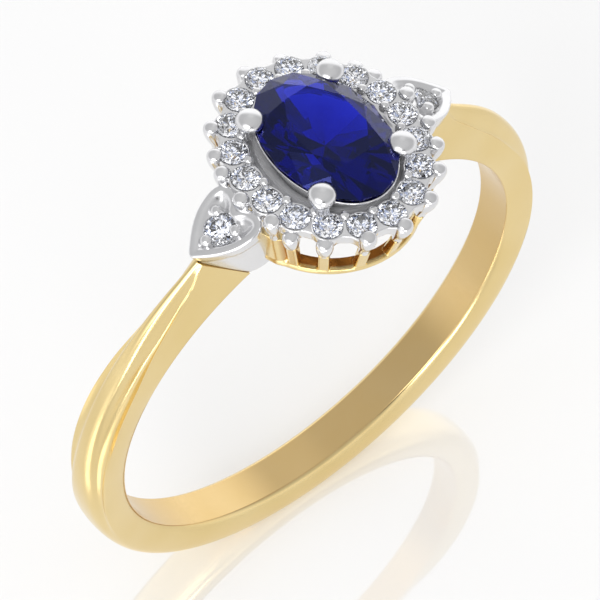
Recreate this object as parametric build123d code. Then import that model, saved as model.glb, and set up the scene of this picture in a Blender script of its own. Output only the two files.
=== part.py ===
from build123d import *
import os
from math import sin, cos, tan, atan2, pi, radians, degrees, hypot, sqrt

# Cluster engagement ring, millimetres.
# Frame: origin at the centre of the finger hole, Y along the finger,
# X across the shoulders (left heart at -X), +Z up through the centre stone.

os.makedirs("parts", exist_ok=True)

# ---------------------------------------------------------------- driving sizes
bore_radius = 8.675            # finger hole, 17.35 mm inside diameter (US size 7)
band_thickness = 1.40          # radial thickness of the plain part of the band
band_half_width = 1.012        # half of the band's widest width
band_inner_half_width = 0.69   # half width of the flat on the finger side

halo_a = 3.367                 # halo stone circle, half axis along Y
halo_b = 2.881                 # halo stone circle, half axis along X
halo_z = 11.300                # girdle plane of the halo stones
halo_count = 18
halo_stone_d = 0.97

oval_a = 2.838                 # centre stone half length, along Y
oval_b = 2.007                 # centre stone half width, along X
oval_z = 11.792                # girdle plane of the centre stone
oval_crown = 0.62
oval_pavilion = 1.72

# polar directions of the outer claws, degrees from +X
claw_angles = [0, 24, 35.5, 52.5, 73, 92, 111.5, 130.5, 148, 160,
               180, 203, 214.5, 232, 252, 270.5, 289.5, 307, 322.5, 337]
claw_offset = 0.60             # claw axis outside the stone circle
claw_r = 0.19
claw_bead_r = 0.26
claw_join_z = 10.30            # white gold above, yellow gold below

rail_r0 = 9.06                 # the base rail is curved with the finger:
rail_r1 = 9.28                 # its underside and its top are on these radii
rail_out_a = halo_a + 0.22
rail_out_b = halo_b + 0.22
rail_width = 0.50

heart_x = 4.319                # heart stone centre
heart_z = 10.371
heart_tilt = 27.0              # degrees, falls away from the head
heart_stone_d = 1.06

seam_top = (5.20, 9.27)        # line where white gold meets the band (x, z)
seam_bottom = (3.53, 7.93)

gap = 0.004                    # setting clearance round the stones


# ---------------------------------------------------------------- small helpers
def smooth_table(table, value):
    """Monotone cubic through (key, value) rows."""
    xs = [r[0] for r in table]
    ys = [r[1] for r in table]
    if value <= xs[0]:
        return ys[0]
    if value >= xs[-1]:
        return ys[-1]
    n = len(xs)
    d = [(ys[i + 1] - ys[i]) / (xs[i + 1] - xs[i]) for i in range(n - 1)]
    m = [d[0]] + [0.0 if d[i - 1] * d[i] <= 0 else 2 * d[i - 1] * d[i] / (d[i - 1] + d[i]) for i in range(1, n - 1)] + [d[-1]]
    for i in range(n - 1):
        if xs[i] <= value <= xs[i + 1]:
            h = xs[i + 1] - xs[i]
            t = (value - xs[i]) / h
            return ((2 * t**3 - 3 * t**2 + 1) * ys[i] + (t**3 - 2 * t**2 + t) * h * m[i]
                    + (-2 * t**3 + 3 * t**2) * ys[i + 1] + (t**3 - t**2) * h * m[i + 1])


def rail_top(x):
    """Height of the rail's top face at x."""
    return sqrt(rail_r1**2 - x**2)


def ellipse_at(rx, ry, z):
    return Plane.XY.offset(z) * Ellipse(rx, ry)


def cone_ring(rx0, ry0, z0, rx1, ry1, z1):
    """Solid elliptical frustum between two levels."""
    return loft([ellipse_at(rx0, ry0, z0), ellipse_at(rx1, ry1, z1)])


def group(solids):
    return Compound(children=[s if isinstance(s, Solid) else s.solids()[0] for s in solids])


def only_solid(shape):
    """The largest solid of a cut, without crumbs."""
    parts = shape.solids()
    return max(parts, key=lambda s: s.volume)


def write(shape, name):
    export_step(shape, f"parts/{name}.step")


# ---------------------------------------------------------------- stones
def brilliant(rx, ry, crown, pavilion, table=0.56, star=0.775, lower=0.24, girdle=0.02, spin=0.0):
    """Round or oval brilliant with its girdle plane at z = 0:
    table, 8 kites, 8 stars, 16 upper halves, girdle, 16 lower halves, 8 mains."""
    c22 = cos(pi / 8)

    def pt(r, deg, z):
        a = radians(deg + spin)
        return Vector(rx * r * cos(a), ry * r * sin(a), z)

    g = girdle / 2
    T = [pt(table, 45 * k, g + crown) for k in range(8)]
    zs = g + crown * (1 - star * c22) / (1 - table)
    S = [pt(star, 45 * k + 22.5, zs) for k in range(8)]
    Gt = [pt(1, 22.5 * k, g) for k in range(16)]
    Gb = [pt(1, 22.5 * k, -g) for k in range(16)]
    zl = -g - pavilion * (1 - lower * c22)
    Lw = [pt(lower, 45 * k + 22.5, zl) for k in range(8)]
    culet = Vector(0, 0, -g - pavilion)
    polys = [T]
    for k in range(8):
        n = (k + 1) % 8
        polys.append([T[k], S[k - 1], Gt[2 * k], S[k]])
        polys.append([T[k], S[k], T[n]])
        polys.append([S[k], Gt[2 * k], Gt[2 * k + 1]])
        polys.append([S[k], Gt[2 * k + 1], Gt[(2 * k + 2) % 16]])
        polys.append([culet, Lw[k], Gb[2 * k], Lw[k - 1]])
        polys.append([Lw[k], Gb[2 * k + 1], Gb[2 * k]])
        polys.append([Lw[k], Gb[(2 * k + 2) % 16], Gb[2 * k + 1]])
    for k in range(16):
        n = (k + 1) % 16
        polys.append([Gt[k], Gb[k], Gb[n], Gt[n]])
    faces = [Face(Wire.make_polygon(p, close=True)) for p in polys]
    return Solid(Shell(faces))


def seat_cutter(rx, ry, pavilion, girdle=0.02, z_open=0.6):
    """Clearance body of a set stone: a cone under the girdle and a straight
    opening above it."""
    low = -girdle / 2 - gap
    below = loft([ellipse_at(rx + gap, ry + gap, low), ellipse_at(0.03, 0.03, low - pavilion - 0.03)])
    above = extrude(ellipse_at(rx + gap, ry + gap, low), z_open - low)
    return below + above


def arc_spaced(a, b, count):
    """Points equally spaced by arc length on an ellipse, the first at +Y."""
    steps = 3600
    pts, s = [], [0.0]
    for i in range(steps + 1):
        t = 2 * pi * i / steps
        pts.append((b * sin(t), a * cos(t), t))
        if i:
            s.append(s[-1] + hypot(pts[i][0] - pts[i - 1][0], pts[i][1] - pts[i - 1][1]))
    out = []
    for k in range(count):
        want = s[-1] * k / count
        i = min(range(len(s)), key=lambda j: abs(s[j] - want))
        out.append(pts[i])
    return out


def outward(a, b, t):
    """Unit normal of the halo ellipse at parameter t (x = b sin t, y = a cos t)."""
    nx, ny = sin(t) / b, cos(t) / a
    n = hypot(nx, ny)
    return nx / n, ny / n


def polar_on_halo(deg):
    """Point of the halo ellipse in a polar direction, with its normal."""
    x, y = cos(radians(deg)), sin(radians(deg))
    r = 1 / hypot(x / halo_b, y / halo_a)
    t = atan2(r * x / halo_b, r * y / halo_a)
    nx, ny = outward(halo_a, halo_b, t)
    return r * x, r * y, nx, ny


stone_r = halo_stone_d / 2
halo_crown, halo_pav = 0.155, 0.415
halo_stone = brilliant(stone_r, stone_r, halo_crown, halo_pav)
halo_seat = seat_cutter(stone_r, stone_r, halo_pav)
halo_places = arc_spaced(halo_a, halo_b, halo_count)
halo_stones, halo_cutters = [], []
for x, y, t in halo_places:
    nx, ny = outward(halo_a, halo_b, t)
    turn = Location((x, y, halo_z), (0, 0, degrees(atan2(ny, nx))))
    halo_stones.append(halo_stone.moved(turn))
    halo_cutters.append(halo_seat.moved(turn))

oval = brilliant(oval_b, oval_a, oval_crown, oval_pavilion, table=0.60, girdle=0.06, spin=22.5).moved(Location((0, 0, oval_z)))
oval_cut = seat_cutter(oval_b, oval_a, oval_pavilion, 0.06, 0.1).moved(Location((0, 0, oval_z)))

# ---------------------------------------------------------------- halo setting
plate_top, plate_low = halo_z - 0.03, halo_z - 0.40
plate = cone_ring(halo_b + 0.36, halo_a + 0.36, plate_low, halo_b + 0.46, halo_a + 0.46, plate_top)
plate -= extrude(ellipse_at(halo_b - 0.50, halo_a - 0.50, plate_low - 0.1), 1.0)
bowl_z = 10.42
bowl = cone_ring(1.86, 2.58, bowl_z, halo_b - 0.42, halo_a - 0.42, plate_top)
bowl -= cone_ring(1.66, 2.38, bowl_z - 0.001, halo_b - 0.60, halo_a - 0.60, plate_top + 0.001)
halo_body = plate + bowl

# ---------------------------------------------------------------- centre setting
collar_top = oval_z - 0.20
collar = cone_ring(1.66, 2.38, bowl_z - 0.10, 1.98, 2.80, collar_top)
collar -= cone_ring(1.30, 2.02, bowl_z - 0.101, 1.62, 2.43, collar_top + 0.001)
collar -= oval_cut

# four round claws: stem from the wall of the bowl to the girdle, then a domed tip
under_rail_top = Cylinder(rail_r1, 14, rotation=(90, 0, 0))
centre_claws = {}
names = {(-1, -1): "front_left", (1, -1): "front_right", (-1, 1): "back_left", (1, 1): "back_right"}
for (sx, sy), side in names.items():
    foot = Vector(sx * 1.47, sy * 1.68, 10.52)
    waist = Vector(sx * 1.72, sy * 1.92, 10.98)
    top = Vector(sx * 1.74, sy * 1.90, 12.02)
    stem = loft([Plane(foot, z_dir=waist - foot) * Circle(0.24), Plane(waist, z_dir=waist - foot) * Circle(0.28)])
    neck = loft([Plane(waist, z_dir=top - waist) * Circle(0.28), Plane(top, z_dir=top - waist) * Circle(0.31)])
    knee = Pos(waist) * Sphere(0.28)
    tip = Pos(Vector(sx * 1.66, sy * 1.82, 12.02)) * scale(Sphere(0.44), (1, 1, 0.6))
    claw = stem + neck + knee + tip
    claw -= oval
    centre_claws["centre_claw_" + side] = only_solid(claw)
claw_bodies = list(centre_claws.values())

collar_cut = collar
halo_cut = halo_body
for c in claw_bodies:
    collar_cut = collar_cut - c
    halo_cut = halo_cut - c
centre_setting = only_solid(collar_cut)

# ---------------------------------------------------------------- outer claws and gallery
angles = claw_angles
columns, white_claws, lower_columns = [], [], []
for deg in angles:
    x, y, nx, ny = polar_on_halo(deg)
    top = Vector(x + nx * claw_offset, y + ny * claw_offset, halo_z - 0.02)
    foot = Vector(x + nx * (0.22 - claw_r), y + ny * (0.22 - claw_r), rail_top(x + nx * 0.03) - 0.02)
    direction = (top - foot).normalized()
    mid = foot + direction * ((claw_join_z - foot.Z) / direction.Z)
    join = Plane(mid, z_dir=(0, 0, 1))
    upper = loft([join * Circle(claw_r * 0.96), Plane(top, z_dir=(0, 0, 1)) * Circle(claw_r * 1.06)])
    bead = Pos(top + Vector(-nx * 0.04, -ny * 0.04, 0.06)) * Sphere(claw_bead_r)
    white_claws.append(upper + bead)
    low = loft([Plane(Vector(foot.X, foot.Y, foot.Z - 0.20), z_dir=(0, 0, 1)) * Circle(claw_r * 0.88), join * Circle(claw_r * 0.96)])
    lower_columns.append(low)

trimmed = []
for c, deg in zip(white_claws, angles):
    x, y, nx, ny = polar_on_halo(deg)
    for cut, (hx, hy, t) in zip(halo_cutters, halo_places):
        if hypot(hx - x, hy - y) < 1.0:
            c = c - cut
    trimmed.append(only_solid(c))
white_claws = trimmed

for c in white_claws:
    halo_cut = halo_cut - c
for c in halo_cutters:
    halo_cut = halo_cut - c
through = Cylinder(0.20, 2.0)
for x, y, t in halo_places:
    halo_cut = halo_cut - Pos(x, y, halo_z - 0.9) * through
halo_cut = halo_cut - centre_setting
halo_setting = only_solid(halo_cut)

# small beads between the stones, on the inner side
beads = []
for k in range(halo_count):
    t0, t1 = halo_places[k][2], halo_places[(k + 1) % halo_count][2]
    if t1 < t0:
        t1 += 2 * pi
    t = (t0 + t1) / 2
    x, y = halo_b * sin(t), halo_a * cos(t)
    nx, ny = outward(halo_a, halo_b, t)
    bx, by = x - nx * 0.385, y - ny * 0.385
    b = Pos(bx, by, plate_top + 0.02) * Sphere(0.15) & Pos(bx, by, plate_top + 0.5) * Box(1, 1, 1)
    for c in claw_bodies:
        box = c.bounding_box()
        if box.min.X - 0.16 < bx < box.max.X + 0.16 and box.min.Y - 0.16 < by < box.max.Y + 0.16:
            b = b - c
    beads.append(only_solid(b))

rail = extrude(ellipse_at(rail_out_b, rail_out_a, 8.0), 1.6)
rail -= extrude(ellipse_at(rail_out_b - rail_width, rail_out_a - rail_width, 7.9), 1.8)
end_wall = cone_ring(rail_out_b, rail_out_a, 8.2, rail_out_b + 0.16, rail_out_a + 0.16, claw_join_z - 0.02)
end_wall -= cone_ring(rail_out_b - 0.34, rail_out_a - 0.34, 8.19, rail_out_b - 0.14, rail_out_a - 0.14, claw_join_z - 0.01)
end_keep = Pos(0, 0, 9.2) * Box(12, 2.9, 3.2)
gallery = (rail & under_rail_top) + (end_wall & end_keep)
for c in lower_columns:
    gallery = gallery + c
gallery -= Cylinder(rail_r0, 14, rotation=(90, 0, 0))
gallery = only_solid(gallery)

# ---------------------------------------------------------------- shank
crest_h = [(0, 1.40), (75, 1.40), (90, 1.41), (105, 1.42), (120, 1.40), (135, 1.43), (145, 1.62), (152, 2.02), (160, 2.10)]
edge_y = [(0, 1.012), (60, 1.012), (85, 1.006), (95, 0.977), (105, 0.935), (115, 0.858), (125, 0.72), (135, 0.51), (145, 0.32), (152, 0.22), (160, 0.22)]
edge_h = [(0, 0.905), (85, 0.975), (95, 1.02), (105, 1.04), (115, 1.04), (125, 1.01), (135, 1.06), (145, 1.36), (152, 1.93), (160, 2.0)]
foot_y = [(0, 0.69), (85, 0.70), (120, 0.71), (152, 0.715), (160, 0.73)]
hollow = [(0, 0.0), (80, 0.0), (100, 0.12), (118, 0.20), (132, 0.16), (145, 0.04), (150, 0.0), (160, 0.0)]


def shank_section(phi):
    """Cross section in the plane through the Y axis at phi degrees from the
    bottom of the ring: finger side, two walls, crowned top with its hollows."""
    p = abs(phi)
    hc, ye, he = smooth_table(crest_h, p), smooth_table(edge_y, p), smooth_table(edge_h, p)
    yf, dh = smooth_table(foot_y, p), smooth_table(hollow, p)
    th = radians(phi) - pi / 2
    rad = Vector(cos(th), 0, sin(th))

    def at(y, h):
        return rad * (bore_radius + h) + Vector(0, y, 0)

    top = []
    for i in range(13):
        u = -1 + 2 * i / 12
        dome = he + (hc - he) * (1 - abs(u) ** 2.6) ** (1 / 2.2)
        dip = dh * max(0.0, 1 - abs(abs(u) - 0.67) / 0.30) ** 1.0
        top.append(at(u * ye, dome - dip))
    left = [at(-yf, -0.30), at(-yf - (ye - yf) * 0.30 - 0.05, 0.14), at(-ye + (ye - yf) * 0.10 - 0.015, he * 0.62), at(-ye, he)]
    right = [at(ye, he), at(ye - (ye - yf) * 0.10 + 0.015, he * 0.62), at(yf + (ye - yf) * 0.30 + 0.05, 0.14), at(yf, -0.30)]
    edges = [Edge.make_spline(left), Edge.make_spline(top), Edge.make_spline(right), Edge.make_line(at(yf, -0.30), at(-yf, -0.30))]
    return Face(Wire(edges))


stations = [s * 160 / 26 for s in range(-26, 27)]
shank_body = loft([shank_section(p) for p in stations])
finger = Cylinder(bore_radius, 12, rotation=(90, 0, 0))
shank_body -= finger

# everything above the two seam planes is white gold
slope = (seam_top[1] - seam_bottom[1]) / (seam_top[0] - seam_bottom[0])


def seam_wedge(sx):
    """Prism that covers the head side of one seam."""
    x0, z0 = seam_bottom[0] - 3.0, seam_bottom[1] - 3.0 * slope
    x1, z1 = seam_top[0] + 2.0, seam_top[1] + 2.0 * slope
    pts = [(sx * x0, z0), (sx * x1, z1), (sx * x1, 16), (0, 16), (0, z0)]
    face = Face(Wire.make_polygon([Vector(px, -4, pz) for px, pz in pts], close=True))
    return Solid.extrude(face, Vector(0, 8, 0))


wedge_l, wedge_r = seam_wedge(-1), seam_wedge(1)
shank = only_solid(shank_body - wedge_l - wedge_r)

# ---------------------------------------------------------------- heart shoulders
heart_pts = [(1.28, 0.0), (1.10, 0.27), (0.80, 0.56), (0.46, 0.81), (0.10, 1.00), (-0.28, 1.11), (-0.70, 1.15), (-1.04, 1.02), (-1.19, 0.70), (-1.12, 0.34), (-0.97, 0.11)]
notch = (-0.88, 0.0)


def heart_face(sx, grow, depth, shrink=1.0):
    """Heart outline in its tilted plane, grown outwards and set back by depth."""
    t = radians(heart_tilt)
    u_dir = Vector(sx * cos(t), 0, -sin(t))
    v_dir = Vector(0, 1, 0)
    n_dir = Vector(sx * sin(t), 0, cos(t))
    base = Vector(sx * heart_x, 0, heart_z) + n_dir * depth

    def at(u, v):
        r = hypot(u - 0.05, v)
        s = shrink * (1 + grow / r)
        return base + u_dir * (0.05 + (u - 0.05) * s) + v_dir * (v * s)

    upper = [at(u, v) for u, v in heart_pts[1:]] + [at(*notch)]
    lower = [at(u, -v) for u, v in reversed(heart_pts[1:])]
    ring = [at(*heart_pts[0])] + upper + lower
    return Face(Wire([Edge.make_spline(ring, periodic=True)]))


def heart_setting(sx, stone_cut):
    t = radians(heart_tilt)
    n_dir = Vector(sx * sin(t), 0, cos(t))
    rim = loft([heart_face(sx, 0.0, 0.10), heart_face(sx, 0.06, -0.60)])
    pocket = loft([heart_face(sx, -0.22, 0.12), heart_face(sx, -0.30, -0.16)])
    foot = Vector(sx * 3.35, 0, 7.9)
    foot_face = Plane(foot, x_dir=(cos(t) * sx, 0, -sin(t)), z_dir=n_dir) * RectangleRounded(2.2, 1.60, 0.35)
    neck = loft([heart_face(sx, 0.04, -0.45), foot_face])
    body = (rim + neck) - pocket - finger
    body &= wedge_l if sx < 0 else wedge_r
    body -= cone_ring(rail_out_b, rail_out_a, 7.5, rail_out_b + 0.22, rail_out_a + 0.22, 11.0)
    body -= extrude(ellipse_at(halo_b + 0.50, halo_a + 0.50, 10.84), 2.0)
    for c, deg in zip(white_claws, angles):
        if abs(cos(radians(deg)) - sx) < 0.2:
            body -= c
    for c, deg in zip(lower_columns, angles):
        if abs(cos(radians(deg)) - sx) < 0.2:
            body -= c
    body -= gallery
    body -= shank
    body -= stone_cut
    return only_solid(body)


heart_r = heart_stone_d / 2
heart_stone = brilliant(heart_r, heart_r, 0.17, 0.455)
heart_cut = seat_cutter(heart_r, heart_r, 0.455, 0.02, 0.7)
heart_settings, heart_stones, heart_claws = {}, {}, {}
for sx, side in ((-1, "left"), (1, "right")):
    t = radians(heart_tilt)
    n_dir = Vector(sx * sin(t), 0, cos(t))
    u_dir = Vector(sx * cos(t), 0, -sin(t))
    seat_plane = Plane(Vector(sx * heart_x, 0, heart_z) - n_dir * 0.06, x_dir=u_dir, z_dir=n_dir)
    stone = seat_plane.location * heart_stone
    cut = seat_plane.location * heart_cut
    setting = heart_setting(sx, cut)
    claws = []
    for u, v in ((-0.34, 0.50), (-0.34, -0.50), (0.62, 0.0)):
        s = 0.60 / hypot(u, v)
        stem = extrude(Plane(seat_plane.from_local_coords(Vector(u * s, v * s, -0.24)), z_dir=n_dir) * Circle(0.15), 0.34)
        bead = Pos(seat_plane.from_local_coords(Vector(u * s * 0.97, v * s * 0.97, 0.10))) * Sphere(0.17)
        claws.append(only_solid((stem + bead) - cut))
    for c in claws:
        setting = setting - c
    heart_settings[side] = only_solid(setting)
    heart_stones[side] = stone
    heart_claws[side] = claws

# ---------------------------------------------------------------- sub-parts
write(shank, "shank")
write(gallery, "gallery")
write(halo_setting, "halo_setting")
write(group(white_claws), "halo_claws")
write(group(beads), "halo_inner_beads")
write(centre_setting, "centre_setting")
for name, solid in centre_claws.items():
    write(solid, name)
write(oval, "centre_sapphire")
for i, s in enumerate(halo_stones):
    write(s, f"halo_diamond_{i + 1:02d}")
for side in ("left", "right"):
    write(heart_settings[side], f"heart_setting_{side}")
    write(heart_stones[side], f"heart_diamond_{side}")
    write(group(heart_claws[side]), f"heart_claws_{side}")
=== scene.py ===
import bpy, bmesh, math
import numpy as np
from mathutils import Vector, Matrix


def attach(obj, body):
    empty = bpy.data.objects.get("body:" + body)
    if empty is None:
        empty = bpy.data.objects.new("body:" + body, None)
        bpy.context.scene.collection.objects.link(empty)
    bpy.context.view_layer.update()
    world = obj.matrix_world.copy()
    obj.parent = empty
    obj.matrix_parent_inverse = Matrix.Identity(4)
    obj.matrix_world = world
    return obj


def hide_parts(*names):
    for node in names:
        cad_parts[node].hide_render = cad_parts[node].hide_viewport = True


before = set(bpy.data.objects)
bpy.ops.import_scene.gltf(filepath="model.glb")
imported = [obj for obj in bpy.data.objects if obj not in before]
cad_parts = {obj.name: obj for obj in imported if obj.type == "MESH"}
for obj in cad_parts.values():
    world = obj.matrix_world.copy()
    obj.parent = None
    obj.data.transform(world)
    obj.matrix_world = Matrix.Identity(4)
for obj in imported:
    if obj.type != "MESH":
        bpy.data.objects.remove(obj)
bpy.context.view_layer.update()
scene = bpy.context.scene
MM = 0.001

# ------------------------------------------------------------------ sizes, mm
BORE = 8.675
HALO_A, HALO_B, HALO_Z = 3.367, 2.881, 11.300
OVAL_A, OVAL_B, OVAL_Z = 2.838, 2.007, 11.792
STONE_R = 0.485
CLAW_DROP = {24: 0.30, 35.5: 0.28, 52.5: 0.22, 73: 0.28, 92: 0.16, 203: -0.10, 214.5: 0.28, 232: 0.20, 252: -0.12}
CLAW_DEG = [0, 24, 35.5, 52.5, 73, 92, 111.5, 130.5, 148, 160,
            180, 203, 214.5, 232, 252, 270.5, 289.5, 307, 322.5, 337]
JOIN_Z = 10.30
RAIL_R0, RAIL_R1 = 9.06, 9.28
HEART_X, HEART_Z, HEART_TILT = 4.319, 10.371, math.radians(27)
SEAM_TOP, SEAM_BOTTOM = (5.20, 9.27), (3.53, 7.93)


# ------------------------------------------------------------------ materials
def nodes_of(mat):
    mat.use_nodes = True
    nt = mat.node_tree
    nt.nodes.clear()
    out = nt.nodes.new("ShaderNodeOutputMaterial")
    bsdf = nt.nodes.new("ShaderNodeBsdfPrincipled")
    nt.links.new(bsdf.outputs[0], out.inputs["Surface"])
    return nt, bsdf, out


def metal(name, light, dark, rough_lo, rough_hi, bump, polish_scale=5200.0, tone_scale=420.0, painted_shade_colour=(0.3, 0.3, 0.3), satin=0.0):
    """Polished cast metal: slow tone drift, finer haze in the polish, and the
    shallow ripple that hand polishing leaves."""
    mat = bpy.data.materials.new(name)
    nt, bsdf, out = nodes_of(mat)
    coord = nt.nodes.new("ShaderNodeTexCoord")
    tone = nt.nodes.new("ShaderNodeTexNoise")
    tone.inputs["Scale"].default_value = tone_scale
    tone.inputs["Detail"].default_value = 3.0
    nt.links.new(coord.outputs["Object"], tone.inputs["Vector"])
    ramp = nt.nodes.new("ShaderNodeValToRGB")
    ramp.color_ramp.elements[0].position = 0.30
    ramp.color_ramp.elements[0].color = (*dark, 1)
    ramp.color_ramp.elements[1].position = 0.70
    ramp.color_ramp.elements[1].color = (*light, 1)
    nt.links.new(tone.outputs["Fac"], ramp.inputs["Fac"])
    # painted shade: the shade attribute mixes the base colour towards a darker colour where shade falls in recesses,
    # inside the band and on ledges
    painted_shade_attr = nt.nodes.new("ShaderNodeAttribute")
    painted_shade_attr.attribute_name = "shade"
    painted_shade_mix = nt.nodes.new("ShaderNodeMix")
    painted_shade_mix.data_type = "RGBA"
    nt.links.new(painted_shade_attr.outputs["Fac"], painted_shade_mix.inputs["Factor"])
    nt.links.new(ramp.outputs["Color"], painted_shade_mix.inputs["A"])
    painted_shade_mix.inputs["B"].default_value = (*painted_shade_colour, 1)
    nt.links.new(painted_shade_mix.outputs["Result"], bsdf.inputs["Base Color"])
    haze = nt.nodes.new("ShaderNodeTexNoise")
    haze.inputs["Scale"].default_value = polish_scale
    haze.inputs["Detail"].default_value = 5.0
    nt.links.new(coord.outputs["Object"], haze.inputs["Vector"])
    span = nt.nodes.new("ShaderNodeMapRange")
    span.inputs["To Min"].default_value = rough_lo
    span.inputs["To Max"].default_value = rough_hi
    nt.links.new(haze.outputs["Fac"], span.inputs["Value"])
    nt.links.new(span.outputs["Result"], bsdf.inputs["Roughness"])
    ripple = nt.nodes.new("ShaderNodeTexNoise")
    ripple.inputs["Scale"].default_value = 900.0
    ripple.inputs["Detail"].default_value = 2.0
    nt.links.new(coord.outputs["Object"], ripple.inputs["Vector"])
    bmp = nt.nodes.new("ShaderNodeBump")
    bmp.inputs["Strength"].default_value = bump
    bmp.inputs["Distance"].default_value = 0.00002
    nt.links.new(ripple.outputs["Fac"], bmp.inputs["Height"])
    nt.links.new(bmp.outputs["Normal"], bsdf.inputs["Normal"])
    bsdf.inputs["Metallic"].default_value = 1.0
    if satin > 0:
        # recesses keep the satin skin of the casting
        skin = nt.nodes.new("ShaderNodeMapRange")
        skin.inputs["To Min"].default_value = 1.0
        skin.inputs["To Max"].default_value = 1.0 - satin
        nt.links.new(painted_shade_attr.outputs["Fac"], skin.inputs["Value"])
        nt.links.new(skin.outputs["Result"], bsdf.inputs["Metallic"])
    return mat


# painted shade colours: dark brown on the yellow gold, grey on the white gold
yellow = metal("yellow_gold_polished", (0.84, 0.665, 0.335), (0.81, 0.625, 0.290), 0.15, 0.23, 0.08, painted_shade_colour=(0.42, 0.16, 0.03))
white = metal("white_gold_rhodium", (0.79, 0.79, 0.80), (0.72, 0.72, 0.73), 0.14, 0.24, 0.14, tone_scale=700.0, painted_shade_colour=(0.74, 0.74, 0.75), satin=0.75)


def gem(name, light, dark, ior, rough, absorb=None, density=0.0, glint=(1.0, 1.0, 1.0)):
    """Cut stone: clear body with faint growth zoning in its colour."""
    mat = bpy.data.materials.new(name)
    nt, bsdf, out = nodes_of(mat)
    coord = nt.nodes.new("ShaderNodeTexCoord")
    zone = nt.nodes.new("ShaderNodeTexNoise")
    zone.inputs["Scale"].default_value = 900.0
    zone.inputs["Detail"].default_value = 2.0
    nt.links.new(coord.outputs["Object"], zone.inputs["Vector"])
    ramp = nt.nodes.new("ShaderNodeValToRGB")
    ramp.color_ramp.elements[0].position = 0.35
    ramp.color_ramp.elements[0].color = (*dark, 1)
    ramp.color_ramp.elements[1].position = 0.65
    ramp.color_ramp.elements[1].color = (*light, 1)
    nt.links.new(zone.outputs["Fac"], ramp.inputs["Fac"])
    nt.links.new(ramp.outputs["Color"], bsdf.inputs["Base Color"])
    bsdf.inputs["Roughness"].default_value = rough
    bsdf.inputs["IOR"].default_value = ior
    bsdf.inputs["Transmission Weight"].default_value = 1.0
    bsdf.inputs["Specular Tint"].default_value = (*glint, 1)
    if absorb:
        vol = nt.nodes.new("ShaderNodeVolumeAbsorption")
        vol.inputs["Color"].default_value = (*absorb, 1)
        vol.inputs["Density"].default_value = density
        nt.links.new(vol.outputs[0], out.inputs["Volume"])
    return mat


sapphire = gem("sapphire_blue", (0.10, 0.18, 1.0), (0.05, 0.10, 0.88), 1.77, 0.0, (0.02, 0.08, 0.78), 2100.0, glint=(0.22, 0.27, 0.90))
diamond = gem("diamond_clear", (1.0, 1.0, 1.0), (0.93, 0.95, 1.0), 2.42, 0.0)

for name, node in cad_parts.items():
    if "diamond" in name or "sapphire" in name:
        for s in node.material_slots:
            s.material = sapphire if "sapphire" in name else diamond


# ------------------------------------------------------------------ mesh tools
def add_piece(name, verts, faces, material, body="root", normals=None, smooth=True, sharp=None, shade=None):
    mesh = bpy.data.meshes.new(name)
    mesh.from_pydata((np.asarray(verts) * MM).tolist(), [], faces if isinstance(faces, list) else faces.tolist())
    mesh.update()
    if shade is not None:
        att = mesh.attributes.new("shade", "FLOAT", "POINT")
        att.data.foreach_set("value", np.clip(np.asarray(shade, np.float32), 0, 1))
    obj = bpy.data.objects.new(name, mesh)
    scene.collection.objects.link(obj)
    mesh.materials.append(material)
    mesh.polygons.foreach_set("use_smooth", [smooth] * len(mesh.polygons))
    if sharp:
        mesh.set_sharp_from_angle(angle=math.radians(sharp))
    if normals is not None and len(normals) == len(mesh.vertices):
        mesh.normals_split_custom_set_from_vertices(normals.tolist())
    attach(obj, body)
    return obj


def smin(a, b, k):
    h = np.clip(0.5 + 0.5 * (b - a) / k, 0, 1)
    return b * (1 - h) + a * h - k * h * (1 - h)


def smax(a, b, k):
    return -smin(-a, -b, k)


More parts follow.
